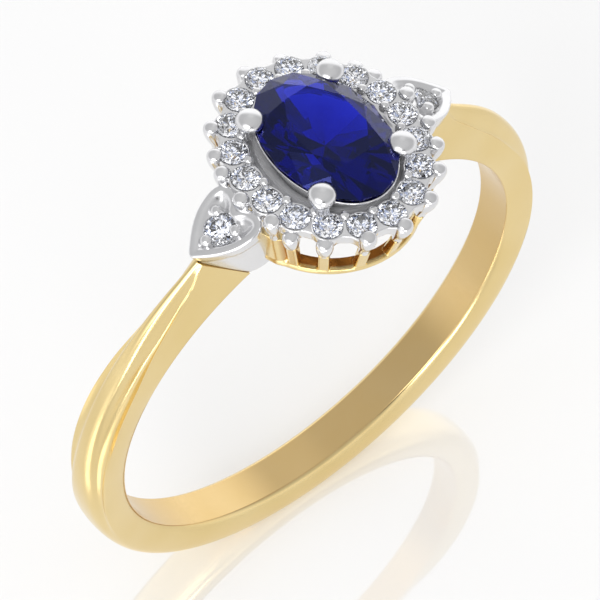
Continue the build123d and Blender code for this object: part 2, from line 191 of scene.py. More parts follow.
def surface_net(F, lo, pitch):
    """Quad skin of the zero level of F (negative inside), with normals."""
    inside = F < 0
    nx, ny, nz = F.shape
    cnt = np.zeros((nx - 1, ny - 1, nz - 1), np.int8)
    offs = [(i, j, k) for i in (0, 1) for j in (0, 1) for k in (0, 1)]
    for i, j, k in offs:
        cnt += inside[i:nx - 1 + i, j:ny - 1 + j, k:nz - 1 + k]
    act = (cnt > 0) & (cnt < 8)
    I, J, K = np.nonzero(act)
    index = -np.ones(act.shape, np.int64)
    index[I, J, K] = np.arange(len(I))
    val = {o: F[I + o[0], J + o[1], K + o[2]] for o in offs}
    acc = np.zeros((len(I), 3))
    num = np.zeros(len(I))
    for o in offs:
        for axis in range(3):
            if o[axis] == 0:
                p = list(o); p[axis] = 1; p = tuple(p)
                a, b = val[o], val[p]
                m = (a < 0) != (b < 0)
                t = np.where(m, a / np.where(m, a - b, 1), 0)
                pt = np.tile(np.array(o, float), (len(I), 1))
                pt[:, axis] = t
                acc[m] += pt[m]
                num[m] += 1
    local = acc / num[:, None]
    base = np.stack([I, J, K], 1)
    verts = np.asarray(lo) + pitch * (base + local)
    quads = []
    for axis in range(3):
        a1, a2 = (axis + 1) % 3, (axis + 2) % 3
        sl0 = [slice(1, n - 1) for n in F.shape]; sl1 = list(sl0)
        sl0[axis] = slice(0, F.shape[axis] - 1); sl1[axis] = slice(1, F.shape[axis])
        A, B = inside[tuple(sl0)], inside[tuple(sl1)]
        flip = np.nonzero(A != B)
        e = np.stack(flip, 1) + 1
        e[:, axis] -= 1
        out = A[flip]

        def cell(d1, d2):
            c = e.copy(); c[:, a1] += d1; c[:, a2] += d2
            return index[c[:, 0], c[:, 1], c[:, 2]]
        q = np.stack([cell(-1, -1), cell(0, -1), cell(0, 0), cell(-1, 0)], 1)
        q[~out] = q[~out][:, ::-1]
        quads.append(q)
    quads = np.concatenate(quads)
    quads = quads[(quads >= 0).all(1)]
    G = np.stack(np.gradient(F), -1)
    f = local[:, :, None]
    N = np.zeros((len(I), 3))
    for o in offs:
        w = np.ones(len(I))
        for axis in range(3):
            w *= local[:, axis] if o[axis] else 1 - local[:, axis]
        N += w[:, None] * G[I + o[0], J + o[1], K + o[2]]
    N /= np.linalg.norm(N, axis=1)[:, None] + 1e-9
    return verts, quads, N


def grid(lo, hi, pitch):
    ax = [np.arange(l, h + pitch, pitch, dtype=np.float32) for l, h in zip(lo, hi)]
    return np.meshgrid(*ax, indexing="ij")


def local_apply(F, lo, pitch, centre, reach, fn):
    """Run fn on the part of F within reach of centre."""
    sl = []
    for a in range(3):
        i0 = max(0, int((centre[a] - reach[a] - lo[a]) / pitch))
        i1 = min(F.shape[a], int((centre[a] + reach[a] - lo[a]) / pitch) + 2)
        sl.append(slice(i0, i1))
    sl = tuple(sl)
    F[sl] = fn(F[sl], sl)


def seg(X, Y, Z, A, B, ra, rb):
    ax, ay, az = A
    d = np.array(B, float) - np.array(A, float)
    L2 = float(d @ d)
    t = np.clip(((X - ax) * d[0] + (Y - ay) * d[1] + (Z - az) * d[2]) / L2, 0, 1)
    return np.sqrt((X - ax - t * d[0]) ** 2 + (Y - ay - t * d[1]) ** 2 + (Z - az - t * d[2]) ** 2) - (ra + t * (rb - ra))


def halo_q(X, Y):
    """Distance outside the halo ellipse, first order."""
    f = np.sqrt((X / HALO_B) ** 2 + (Y / HALO_A) ** 2) + 1e-6
    g = np.sqrt((X / HALO_B ** 2) ** 2 + (Y / HALO_A ** 2) ** 2) / f + 1e-6
    return (f - 1) / g


def halo_polar(deg, off=0.0):
    x, y = math.cos(math.radians(deg)), math.sin(math.radians(deg))
    r = 1 / math.hypot(x / HALO_B, y / HALO_A)
    X, Y = r * x, r * y
    nx, ny = X / HALO_B ** 2, Y / HALO_A ** 2
    n = math.hypot(nx, ny)
    return X + off * nx / n, Y + off * ny / n, nx / n, ny / n


def arc_spaced(a, b, count):
    steps = 3600
    t = np.linspace(0, 2 * math.pi, steps + 1)
    P = np.stack([b * np.sin(t), a * np.cos(t)], 1)
    s = np.concatenate([[0], np.cumsum(np.linalg.norm(np.diff(P, axis=0), axis=1))])
    tt = np.interp(s[-1] * np.arange(count) / count, s, t)
    return [(b * math.sin(v), a * math.cos(v), v) for v in tt]


HALO = arc_spaced(HALO_A, HALO_B, 18)


def hermite_rows(keys, rows, value):
    """Monotone cubic between rows of numbers."""
    rows = np.asarray(rows, float)
    keys = np.asarray(keys, float)
    if value <= keys[0]:
        return rows[0]
    if value >= keys[-1]:
        return rows[-1]
    d = (rows[1:] - rows[:-1]) / (keys[1:] - keys[:-1])[:, None]
    m = np.zeros_like(rows)
    m[0], m[-1] = d[0], d[-1]
    prod = d[:-1] * d[1:]
    m[1:-1] = np.where(prod > 0, 2 * prod / (d[:-1] + d[1:] + 1e-12), 0)
    i = int(np.searchsorted(keys, value) - 1)
    h = keys[i + 1] - keys[i]
    t = (value - keys[i]) / h
    return ((2 * t**3 - 3 * t**2 + 1) * rows[i] + (t**3 - 2 * t**2 + t) * h * m[i]
            + (-2 * t**3 + 3 * t**2) * rows[i + 1] + (t**3 - t**2) * h * m[i + 1])


def smooth_line(P, per):
    """Centripetal Catmull-Rom through P."""
    P = np.asarray(P, float)
    ext = np.vstack([2 * P[0] - P[1], P, 2 * P[-1] - P[-2]])
    out = []
    for i in range(1, len(ext) - 2):
        p0, p1, p2, p3 = ext[i - 1:i + 3]
        t0 = 0.0
        t1 = t0 + np.linalg.norm(p1 - p0) ** 0.5 + 1e-9
        t2 = t1 + np.linalg.norm(p2 - p1) ** 0.5 + 1e-9
        t3 = t2 + np.linalg.norm(p3 - p2) ** 0.5 + 1e-9
        for s in range(per):
            t = t1 + (t2 - t1) * s / per
            A1 = (t1 - t) / (t1 - t0) * p0 + (t - t0) / (t1 - t0) * p1
            A2 = (t2 - t) / (t2 - t1) * p1 + (t - t1) / (t2 - t1) * p2
            A3 = (t3 - t) / (t3 - t2) * p2 + (t - t2) / (t3 - t2) * p3
            B1 = (t2 - t) / (t2 - t0) * A1 + (t - t0) / (t2 - t0) * A2
            B2 = (t3 - t) / (t3 - t1) * A2 + (t - t1) / (t3 - t1) * A3
            out.append((t2 - t) / (t2 - t1) * B1 + (t - t1) / (t2 - t1) * B2)
    out.append(ext[-2])
    return np.array(out)


# ------------------------------------------------------------------ shank
def plain_row():
    n, ye, he, hc = 2.61, 1.012, 0.84, 1.40
    row = []
    for u in (0, .30, .55, .72, .82, .89, .95, .985, 1.0):
        row.append((u * ye, he + (hc - he) * (1 - u**n) ** (1 / n) if u < 1 else he))
    return row


TOP_KEYS = [0, 64, 77, 89, 101, 112, 122, 133, 145, 152, 160]
TOP_ROWS = [
    plain_row(), plain_row(),
    [(0, 1.44), (.3, 1.42), (.55, 1.37), (.70, 1.28), (.79, 1.18), (.86, 1.11), (.92, 1.075), (.97, 1.05), (1.006, .97)],
    [(0, 1.47), (.3, 1.44), (.48, 1.37), (.60, 1.25), (.68, 1.13), (.76, 1.06), (.84, 1.045), (.92, 1.06), (.977, 1.03)],
    [(0, 1.49), (.2, 1.47), (.34, 1.40), (.43, 1.29), (.52, 1.13), (.62, 1.06), (.72, 1.03), (.83, 1.035), (.935, 1.04)],
    [(0, 1.53), (.16, 1.51), (.28, 1.45), (.37, 1.31), (.45, 1.13), (.53, 1.03), (.63, .995), (.75, 1.01), (.858, 1.05)],
    [(0, 1.59), (.15, 1.57), (.27, 1.49), (.35, 1.34), (.41, 1.15), (.465, 1.03), (.54, .985), (.64, .99), (.74, 1.01)],
    [(0, 1.71), (.12, 1.68), (.21, 1.59), (.28, 1.44), (.33, 1.26), (.37, 1.13), (.41, 1.06), (.455, 1.035), (.50, 1.05)],
    [(0, 1.84), (.08, 1.82), (.14, 1.75), (.19, 1.63), (.22, 1.53), (.24, 1.46), (.26, 1.41), (.28, 1.38), (.32, 1.36)],
    [(0, 2.03), (.05, 2.025), (.09, 2.01), (.12, 1.995), (.15, 1.975), (.17, 1.96), (.185, 1.95), (.195, 1.94), (.2, 1.93)],
    [(0, 2.10), (.05, 2.095), (.09, 2.08), (.12, 2.065), (.15, 2.045), (.17, 2.03), (.185, 2.02), (.195, 2.01), (.2, 2.0)],
]
TOP_ROWS = [np.array(r, float).ravel() for r in TOP_ROWS]
FOOT = ([0, 85, 120, 152, 160], [[.69], [.70], [.71], [.715], [.72]])
WALL = ([0, 85, 120, 140, 160], [
    [.947, .823, .637, .419, .186], [.947, .823, .637, .419, .186],
    [.90, .72, .52, .31, .13], [.82, .60, .38, .20, .07], [.80, .56, .34, .165, .055]])
WALL_H = [.80, .55, .33, .155, .05]


def shank_half(phi):
    p = abs(phi)
    top = hermite_rows(TOP_KEYS, TOP_ROWS, p).reshape(-1, 2)
    ye, he = top[-1]
    yf = float(hermite_rows(*FOOT, p)[0])
    g = hermite_rows(*WALL, p)
    wall = [(yf + (ye - yf) * gg, he * hh) for gg, hh in zip(g, WALL_H)]
    upper = smooth_line(top, 4)
    side = smooth_line([top[-1]] + wall + [(yf, 0.0)], 3)
    inner = np.array([(yf * f, 0.0) for f in (0.97, 0.7, 0.35)])
    return np.vstack([upper, side[1:], inner])


def build_shank():
    stations = np.concatenate([np.arange(-160, -84, 1.0), np.arange(-84, 84, 2.0), np.arange(84, 160.5, 1.0)])
    rings = []
    for phi in stations:
        half = shank_half(phi)
        full = np.vstack([half, [(0.0, 0.0)], (half[1:] * np.array([-1, 1]))[::-1]])
        th = math.radians(phi) - math.pi / 2
        r = BORE + full[:, 1]
        rings.append(np.stack([r * math.cos(th), full[:, 0], r * math.sin(th)], 1))
    n = len(rings[0])
    verts = np.concatenate(rings)
    faces = []
    for i in range(len(rings) - 1):
        for j in range(n):
            a, b = i * n + j, i * n + (j + 1) % n
            faces.append((a, b, b + n, a + n))
    mesh = bpy.data.meshes.new("tmp")
    mesh.from_pydata(verts.tolist(), [], faces)
    bm = bmesh.new()
    bm.from_mesh(mesh)
    slope = Vector((SEAM_TOP[0] - SEAM_BOTTOM[0], 0, SEAM_TOP[1] - SEAM_BOTTOM[1])).normalized()
    for sx in (-1, 1):
        no = Vector((-sx * slope.z, 0, slope.x))
        co = Vector((sx * SEAM_BOTTOM[0], 0, SEAM_BOTTOM[1]))
        near = lambda v: sx * v.co.x > 2.0 and v.co.z > 6.0
        geom = [x for x in bm.verts if near(x)]
        geom += [x for x in bm.edges if all(near(v) for v in x.verts)]
        geom += [x for x in bm.faces if all(near(v) for v in x.verts)]
        bmesh.ops.bisect_plane(bm, geom=geom, plane_co=co, plane_no=no, clear_outer=True, dist=1e-5)
    bmesh.ops.holes_fill(bm, edges=[e for e in bm.edges if e.is_boundary], sides=0)
    bmesh.ops.recalc_face_normals(bm, faces=bm.faces[:])
    v = np.array([x.co[:] for x in bm.verts])
    f = [[x.index for x in face.verts] for face in bm.faces]
    bm.free()
    bpy.data.meshes.remove(mesh)
    return v, f


v, f = build_shank()
# painted shade: the inside of the finger hole is darkened towards the brown shade colour
inner = np.clip((BORE + 0.03 - np.hypot(v[:, 0], v[:, 2])) / 0.02, 0, 1)
shank = add_piece("shank_finish", v, f, yellow, sharp=50, shade=inner * 0.27)
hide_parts("shank")

# ------------------------------------------------------------------ halo setting
PLATE_TOP, PLATE_LOW, BOWL_Z = HALO_Z - 0.03, HALO_Z - 0.54, 10.42


def claw_axis(deg):
    x0, y0, nx, ny = halo_polar(deg)
    top = np.array([x0 + nx * 0.60, y0 + ny * 0.60, HALO_Z - 0.02 - CLAW_DROP.get(deg, 0.0)])
    fx, fy = x0 + nx * 0.03, y0 + ny * 0.03
    foot = np.array([fx, fy, math.sqrt(RAIL_R1**2 - fx**2) - 0.02])
    d = top - foot
    mid = foot + d * ((JOIN_Z - foot[2]) / d[2])
    return foot, mid, top, (nx, ny)


def build_halo():
    p = 0.032
    lo = np.array([-3.75, -4.25, 10.24]); hi = np.array([3.75, 4.25, 11.40])
    X, Y, Z = grid(lo, hi, p)
    q = halo_q(X, Y)
    rise = np.clip((Z - PLATE_LOW) / (PLATE_TOP - PLATE_LOW), 0, 1)
    ring = np.maximum(q - (0.30 + 0.07 * rise), -(q + 0.46))
    cups = np.full_like(F0 := ring, 9.0)
    for x, y, t in HALO:
        local_apply(cups, lo, p, (x, y, 10.8), (0.9, 0.9, 2), lambda S, sl: np.minimum(
            S, np.hypot(X[sl] - x, Y[sl] - y) - (0.47 + 0.09 * rise[sl])))
    body = smin(ring, cups, 0.07)
    top_z = PLATE_TOP + 0.0 * Z
    body = smax(body, Z - top_z, 0.05)
    body = smax(body, PLATE_LOW - Z, 0.10)
    depth = np.clip((PLATE_TOP - Z) / (PLATE_TOP - BOWL_Z), 0, 1)
    wall_q = -0.44 - 0.90 * depth ** 0.6
    bowl = np.abs(q - wall_q) - 0.085
    bowl = np.maximum(np.maximum(bowl, Z - PLATE_TOP + 0.01), BOWL_Z - Z)
    body = smin(body, bowl, 0.10)
    for deg in CLAW_DEG:
        foot, mid, top, n = claw_axis(deg)
        c = (mid + top) / 2
        local_apply(body, lo, p, c, (0.8, 0.8, 1.2), lambda S, sl: smin(
            S, seg(X[sl], Y[sl], Z[sl], mid + (top - mid) * 0.12, mid + (top - mid) * 0.75, 0.12, 0.20), 0.24))
    body = smax(body, JOIN_Z - Z, 0.02)
    for x, y, t in HALO:
        def cut(S, sl):
            r = np.hypot(X[sl] - x, Y[sl] - y)
            seat = np.where(Z[sl] > HALO_Z - 0.02, r - 0.492, (r - 0.49 * np.clip(1 - (HALO_Z - 0.02 - Z[sl]) / 0.43, 0.33, 1)) * 0.75)
            return smax(S, -seat, 0.025)
        local_apply(body, lo, p, (x, y, 10.8), (0.7, 0.7, 2), cut)
    return surface_net(body, lo, p)


v, f, n = build_halo()
hq = halo_q(v[:, 0], v[:, 1])
# painted shade: the bowl under the centre stone and the upward-facing plate top between the stones are darkened
painted_bowl_and_plate_shade = np.clip((-0.40 - hq) / 0.10, 0, 1) * np.clip((PLATE_TOP - 0.02 - v[:, 2]) / 0.10, 0, 1) * 0.95
painted_bowl_and_plate_shade = np.maximum(painted_bowl_and_plate_shade, (np.abs(hq + 0.02) < 0.44) * np.clip((n[:, 2] - 0.6) / 0.3, 0, 1) * 0.38)
halo = add_piece("halo_setting_finish", v, f, white, normals=n, shade=painted_bowl_and_plate_shade)
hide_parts("halo_setting")


# ------------------------------------------------------------------ turned pieces along a line
def turned(A, B, profile, segs=28, squash=(1.0, 1.0), side=(1, 0, 0)):
    """Rings of revolution along A to B; profile is (distance from A, radius)."""
    A, B = np.asarray(A, float), np.asarray(B, float)
    w = (B - A) / np.linalg.norm(B - A)
    u = np.asarray(side, float) - w * float(np.dot(side, w))
    u /= np.linalg.norm(u)
    t = np.cross(w, u)
    prof = smooth_line(np.array(profile, float), 3)
    verts, faces = [], []
    ang = np.linspace(0, 2 * math.pi, segs, endpoint=False)
    for s, r in prof:
        r = max(r, 1e-4)
        verts.append(A + w * s + (np.cos(ang)[:, None] * u * squash[0] + np.sin(ang)[:, None] * t * squash[1]) * r)
    verts = np.concatenate(verts)
    m = len(prof)
    for i in range(m - 1):
        for j in range(segs):
            a, b = i * segs + j, i * segs + (j + 1) % segs
            faces.append((a, b, b + segs, a + segs))
    faces.append(tuple(range(segs))[::-1])
    faces.append(tuple((m - 1) * segs + k for k in range(segs)))
    return verts, faces


def merged(parts):
    verts, faces, base = [], [], 0
    for v, f in parts:
        verts.append(v)
        faces += [tuple(int(i) + base for i in face) for face in f]
        base += len(v)
    return np.concatenate(verts), faces


CLAW = [(-0.55, 0.245), (-0.40, 0.275), (-0.24, 0.290), (-0.08, 0.290), (0.04, 0.265), (0.115, 0.215), (0.155, 0.12), (0.165, 0.0)]
parts = []
for deg in CLAW_DEG:
    foot, mid, top, (nx, ny) = claw_axis(deg)
    reach = float(np.linalg.norm(top - mid))
    profile = [(0.0, 0.186), (0.10, 0.186)] + [(reach + d, r) for d, r in [(-0.74, 0.20)][:1 if reach > 0.9 else 0] + CLAW]
    parts.append(turned(mid, top, profile, side=(-ny, nx, 0)))
v, f = merged(parts)
claws = add_piece("halo_claws_finish", v, f, white, sharp=60)
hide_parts("halo_claws")

# small inner beads between the stones
BEAD = [(0.0, 0.17), (0.12, 0.185), (0.22, 0.185), (0.31, 0.155), (0.37, 0.10), (0.395, 0.0)]
parts = []
for k in range(18):
    t0, t1 = HALO[k][2], HALO[(k + 1) % 18][2]
    if t1 < t0:
        t1 += 2 * math.pi
    t = (t0 + t1) / 2
    x, y = HALO_B * math.sin(t), HALO_A * math.cos(t)
    nx, ny = math.sin(t) / HALO_B, math.cos(t) / HALO_A
    m = math.hypot(nx, ny)
    bx, by = x - nx / m * 0.385, y - ny / m * 0.385
    parts.append(turned((bx, by, PLATE_TOP - 0.12), (bx + nx / m * 0.03, by + ny / m * 0.03, PLATE_TOP + 0.3), BEAD, segs=24))
v, f = merged(parts)
beads = add_piece("halo_inner_beads_finish", v, f, white, sharp=60)
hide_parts("halo_inner_beads")


# ------------------------------------------------------------------ gallery
def build_gallery():
    p = 0.030
    lo = np.array([-3.45, -3.85, 8.30]); hi = np.array([3.45, 3.85, 10.36])
    X, Y, Z = grid(lo, hi, p)
    q = halo_q(X, Y)
    R = np.hypot(X, Z)
    r = 0.05
    dq = np.abs(q + 0.03) - (0.25 - r)
    dr = np.abs(R - (RAIL_R0 + RAIL_R1) / 2) - ((RAIL_R1 - RAIL_R0) / 2 - r)
    body = np.hypot(np.maximum(dq, 0), np.maximum(dr, 0)) + np.minimum(np.maximum(dq, dr), 0) - r
    base_z = np.sqrt(np.maximum(RAIL_R1**2 - X**2, 0.1))
    lift = np.clip((Z - base_z) / (JOIN_Z - base_z), 0, 1)
    mid_q = 0.06 + 0.27 * lift
    wall = smax(np.abs(q - mid_q) - 0.20, np.abs(Y) - 1.56, 0.34)
    wall = np.maximum(wall, RAIL_R0 + 0.03 - R)
    wall = np.maximum(wall, Z - JOIN_Z + 0.01)
    body = smin(body, wall, 0.10)
    for deg in CLAW_DEG:
        if deg in (0, 24, 160, 180, 203, 337):
            continue        # these stand on the closed wall beside the hearts
        foot, mid, top, (nx, ny) = claw_axis(deg)
        d = (mid - foot) / (mid[2] - foot[2])
        c = (foot + mid) / 2

        def col(S, sl):
            ax = foot[0] + d[0] * (Z[sl] - foot[2])
            ay = foot[1] + d[1] * (Z[sl] - foot[2])
            tt = np.abs((X[sl] - ax) * -ny + (Y[sl] - ay) * nx) - (0.185 - 0.07)
            nn = np.abs((X[sl] - ax) * nx + (Y[sl] - ay) * ny) - (0.175 - 0.07)
            box = np.hypot(np.maximum(tt, 0), np.maximum(nn, 0)) + np.minimum(np.maximum(tt, nn), 0) - 0.07
            box = np.maximum(box, foot[2] - 0.12 - Z[sl])
            return smin(S, box, 0.07)
        local_apply(body, lo, p, c, (0.6, 0.6, 1.3), col)
    body = smax(body, RAIL_R0 - R, 0.03)
    body = smax(body, Z - JOIN_Z, 0.01)
    return surface_net(body, lo, p)


v, f, n = build_gallery()
# painted shade: the rail top inside the gallery and the side-facing wall ends are darkened to brown
painted_ledge_shade = np.clip((n[:, 2] - 0.45) / 0.35, 0, 1) * np.clip((0.10 - halo_q(v[:, 0], v[:, 1])) / 0.06, 0, 1)
painted_end_shade = np.clip((np.abs(n[:, 1]) - 0.70) / 0.25, 0, 1) * (np.abs(v[:, 1]) > 1.36) * (np.abs(v[:, 1]) < 1.60)
painted_ledge_shade = np.maximum(painted_ledge_shade, painted_end_shade * 0.7)
gallery = add_piece("gallery_finish", v, f, yellow, normals=n, shade=painted_ledge_shade)
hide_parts("gallery")


# ------------------------------------------------------------------ centre setting and claws
def oval_sweep(rows, segs=160):
    """Closed oval ring from rows of (x radius, y radius, z), around the section."""
    rows = smooth_line(np.vstack([rows, rows[:1]]), 3)[:-1]
    ang = np.linspace(0, 2 * math.pi, segs, endpoint=False)
    verts = np.concatenate([np.stack([r[0] * np.cos(ang), r[1] * np.sin(ang), np.full(segs, r[2])], 1) for r in rows])
    m = len(rows)
    faces = []
    for i in range(m):
        for j in range(segs):
            a, b = i * segs + j, i * segs + (j + 1) % segs
            c, d = ((i + 1) % m) * segs + (j + 1) % segs, ((i + 1) % m) * segs + j
            faces.append((a, b, c, d))
    return verts, faces, np.repeat(rows[:, 2], segs)


rim_z = OVAL_Z - 0.13
COLLAR = np.array([
    (1.46, 2.18, 10.33), (1.56, 2.28, 10.40), (1.66, 2.38, 10.80), (1.74, 2.48, 11.20), (1.80, 2.55, 11.40),
    (1.93, 2.74, 11.50), (2.00, 2.83, 11.56), (2.015, 2.85, rim_z - 0.05), (2.00, 2.83, rim_z), (1.955, 2.78, rim_z - 0.005),
    (1.70, 2.42, 11.44), (1.45, 2.06, 11.20), (1.36, 2.02, 10.80), (1.34, 2.02, 10.38)])
v, f, cz = oval_sweep(COLLAR)
# painted shade: the collar wall below the lip is darkened
collar = add_piece("centre_setting_finish", v, f, white, sharp=70, shade=np.clip((11.54 - cz) / 0.06, 0, 1) * 0.9)
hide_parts("centre_setting")


def build_centre_claw(sx, sy):
    p = 0.026
    foot = np.array([sx * 1.50, sy * 1.71, 10.55])
    waist = np.array([sx * 1.74, sy * 1.94, 10.9])
    neck = np.array([sx * 1.77, sy * 1.94, 11.82])
    tip = np.array([sx * 1.66, sy * 1.82, 12.02])
    c = np.array([sx * 1.8, sy * 2.0, 0])
    lo = np.array([c[0] - 0.75, c[1] - 0.75, foot[2] - 0.12]); hi = np.array([c[0] + 0.75, c[1] + 0.75, 12.5])
    X, Y, Z = grid(lo, hi, p)
    body = smin(seg(X, Y, Z, foot, waist, 0.23, 0.26), seg(X, Y, Z, waist, neck, 0.26, 0.31), 0.08)
    ball = (np.sqrt(((X - tip[0]) / 0.47) ** 2 + ((Y - tip[1]) / 0.47) ** 2 + ((Z - tip[2]) / 0.30) ** 2) - 1) * 0.32
    body = smin(body, ball, 0.16)
    body = smax(body, 10.44 - Z, 0.02)
    # the notch that the setter cuts under the tip for the girdle
    f = np.sqrt((X / (OVAL_B + 0.01)) ** 2 + (Y / (OVAL_A + 0.01)) ** 2)
    above = np.clip((Z - OVAL_Z) / 0.62, -0.06, 1)
    stone = np.where(Z > OVAL_Z - 0.03, f - (1 - 0.40 * above), f - np.clip(1 - (OVAL_Z - 0.03 - Z) / 1.72, 0, 1)) * OVAL_B * 0.8
    body = smax(body, -stone, 0.02)
    return surface_net(body, lo, p)


SIDES = {(-1, -1): "front_left", (1, -1): "front_right", (-1, 1): "back_left", (1, 1): "back_right"}
for (sx, sy), side in SIDES.items():
    v, f, n = build_centre_claw(sx, sy)
    o = add_piece("centre_claw_" + side + "_finish", v, f, white, normals=n)
    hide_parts("centre_claw_" + side)

# ------------------------------------------------------------------ heart shoulders
HEART = [(1.32, 0.0), (1.27, 0.11), (1.12, 0.27), (0.80, 0.56), (0.46, 0.81), (0.10, 1.00), (-0.28, 1.11), (-0.70, 1.15), (-1.04, 1.02), (-1.19, 0.70), (-1.12, 0.32), (-0.97, 0.10), (-0.84, 0.0)]


def heart_table():
    """Signed distance to the heart outline on a fine (u, v) table."""
    half = smooth_line(HEART, 6)
    loop = np.vstack([half, (half[1:-1] * np.array([1, -1]))[::-1]])
    h = 0.02
    us, vs = np.arange(-1.7, 1.8, h), np.arange(-1.7, 1.7 + h, h)
    U, V = np.meshgrid(us, vs, indexing="ij")
    best = np.full(U.shape, 1e9)
    wind = np.zeros(U.shape, bool)
    m = len(loop)
    for i in range(m):
        a, b = loop[i], loop[(i + 1) % m]
        e = b - a
        t = np.clip(((U - a[0]) * e[0] + (V - a[1]) * e[1]) / (e @ e + 1e-12), 0, 1)
        best = np.minimum(best, np.hypot(U - a[0] - t * e[0], V - a[1] - t * e[1]))
        if abs(b[1] - a[1]) > 1e-12:
            cross = ((a[1] > V) != (b[1] > V)) & (U < (b[0] - a[0]) * (V - a[1]) / (b[1] - a[1]) + a[0])
            wind ^= cross
    return us, vs, np.where(wind, -best, best), h


US, VS, HD, HH = heart_table()


def heart_d(U, V):
    x = np.clip((U - US[0]) / HH, 0, len(US) - 1.001)
    y = np.clip((V - VS[0]) / HH, 0, len(VS) - 1.001)
    i, j = x.astype(int), y.astype(int)
    fx, fy = x - i, y - j
    return (HD[i, j] * (1 - fx) * (1 - fy) + HD[i + 1, j] * fx * (1 - fy) + HD[i, j + 1] * (1 - fx) * fy + HD[i + 1, j + 1] * fx * fy)


HEART_CLAWS = [(-0.34, 0.50), (-0.34, -0.50), (0.62, 0.0)]


def heart_frame(sx):
    c, s = math.cos(HEART_TILT), math.sin(HEART_TILT)
    return np.array([sx * HEART_X, 0, HEART_Z]), np.array([sx * c, 0, -s]), np.array([0, 1.0, 0]), np.array([sx * s, 0, c])


def build_heart():
    """The left block in its own (u, v, n) axes; the right one is its mirror."""
    p = 0.028
    O, u, w, n = heart_frame(-1)
    lo = np.array([-1.7, -1.32, -3.3]); hi = np.array([1.45, 1.32, 0.22])
    U, V, N = grid(lo, hi, p)
    X = O[0] + U * u[0] + N * n[0]
    Z = O[2] + U * u[2] + N * n[2]
    depth = np.clip(0.10 - N, 0, None)
    s = 1 - 0.15 * depth / 2.4
    D = heart_d((U - 0.05) / s + 0.05, V / s) * s
    step = np.clip((depth - 0.42) / 0.34, 0, 1)
    step = step * step * (3 - 2 * step)
    slope = np.array([SEAM_TOP[0] - SEAM_BOTTOM[0], SEAM_TOP[1] - SEAM_BOTTOM[1]])
    slope /= np.linalg.norm(slope)
    seam = -((-X - SEAM_BOTTOM[0]) * -slope[1] + (Z - SEAM_BOTTOM[1]) * slope[0])
    outer = D + 0.09 * step * np.clip((-seam - 0.05) / 0.7, 0, 1)
    # under the lobes the block closes towards the gallery
    body = smax(outer, N - 0.10, 0.10)
    inner = D + 0.30 + 0.16 * np.clip((0.10 - N) / 0.25, 0, 1)
    pocket = smax(inner, -(N + 0.075), 0.16)
    body = smax(body, -pocket, 0.14)
    rr = np.hypot(U, V)
    seat = np.where(N > -0.07, rr - 0.535, (rr - 0.535 * np.clip(1 - (-0.07 - N) / 0.47, 0.1, 1)) * 0.75)
    body = smax(body, -seat, 0.02)
    # seam with the band, finger hole, gallery and plate
    body = smax(body, seam, 0.015)
    body = smax(body, BORE - np.hypot(X, Z), 0.03)
    q = halo_q(X, V)
    edge = -0.04 + 0.236 * (Z - 8.24)
    edge = np.where(Z > 10.0, np.minimum(edge, 0.34), edge)
    body = smax(body, edge - q, 0.06)
    v, f, nn = surface_net(body, lo, p)
    P = O + v[:, :1] * u + v[:, 1:2] * w + v[:, 2:] * n
    G = nn[:, :1] * u + nn[:, 1:2] * w + nn[:, 2:] * n
    inside = heart_d(v[:, 0], v[:, 1])
    # painted shade: the pocket floor and the flank below the rim are darkened
    painted_pocket_shade = np.clip((-0.30 - inside) / 0.12, 0, 1) * np.clip((0.06 - v[:, 2]) / 0.08, 0, 1)
    painted_flank_shade = np.clip((-0.30 - v[:, 2]) / 0.30, 0, 1) * (inside > -0.5)
    return P, f[:, ::-1], G, painted_pocket_shade * 0.30 + painted_flank_shade * 0.16


HP, HF, HG, HEART_PAINTED_SHADE = build_heart()
HCLAW = [(0.0, 0.19), (0.16, 0.205), (0.28, 0.215), (0.38, 0.195), (0.45, 0.14), (0.48, 0.07), (0.485, 0.0)]
for sx, side in ((-1, "left"), (1, "right")):
    flip = np.array([1, 1, 1]) if sx < 0 else np.array([-1, 1, 1])
    o = add_piece("heart_setting_" + side + "_finish", HP * flip, HF if sx < 0 else HF[:, ::-1], white, normals=HG * flip, shade=HEART_PAINTED_SHADE)
    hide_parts("heart_setting_" + side)
    O, u, w, n = heart_frame(sx)
    parts = []
    for cu, cv in HEART_CLAWS:
        k = 0.60 / math.hypot(cu, cv)
        base = O + u * cu * k + w * cv * k - n * 0.26
        lean = O + u * cu * k * 0.93 + w * cv * k * 0.93 + n * 0.3
        parts.append(turned(base, lean, HCLAW, segs=24))
    v, f = merged(parts)
    o = add_piece("heart_claws_" + side + "_finish", v, f, white, sharp=60)
    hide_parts("heart_claws_" + side)

# ------------------------------------------------------------------ floor
fm = bpy.data.materials.new("studio_floor")
nt, bsdf, out = nodes_of(fm)
tc = nt.nodes.new("ShaderNodeTexCoord")
no = nt.nodes.new("ShaderNodeTexNoise")
no.inputs["Scale"].default_value = 60.0
nt.links.new(tc.outputs["Object"], no.inputs["Vector"])
rp = nt.nodes.new("ShaderNodeValToRGB")
rp.color_ramp.elements[0].color = (0.96, 0.96, 0.96, 1)
rp.color_ramp.elements[1].color = (0.985, 0.985, 0.985, 1)
nt.links.new(no.outputs["Fac"], rp.inputs["Fac"])
nt.links.new(rp.outputs["Color"], bsdf.inputs["Base Color"])
bsdf.inputs["Roughness"].default_value = 0.08
bsdf.inputs["Specular IOR Level"].default_value = 0.6
bsdf.inputs["Coat Weight"].default_value = 1.0
bsdf.inputs["Coat IOR"].default_value = 3.0
bsdf.inputs["Coat Roughness"].default_value = 0.03
bsdf.inputs["Emission Color"].default_value = (1, 1, 1, 1)
bsdf.inputs["Emission Strength"].default_value = 0.17
fmesh = bpy.data.meshes.new("floor")
z = -10.085 * MM
S = 0.5
fmesh.from_pydata([(-S, -S, z), (S, -S, z), (S, S, z), (-S, S, z)], [], [(0, 1, 2, 3)])
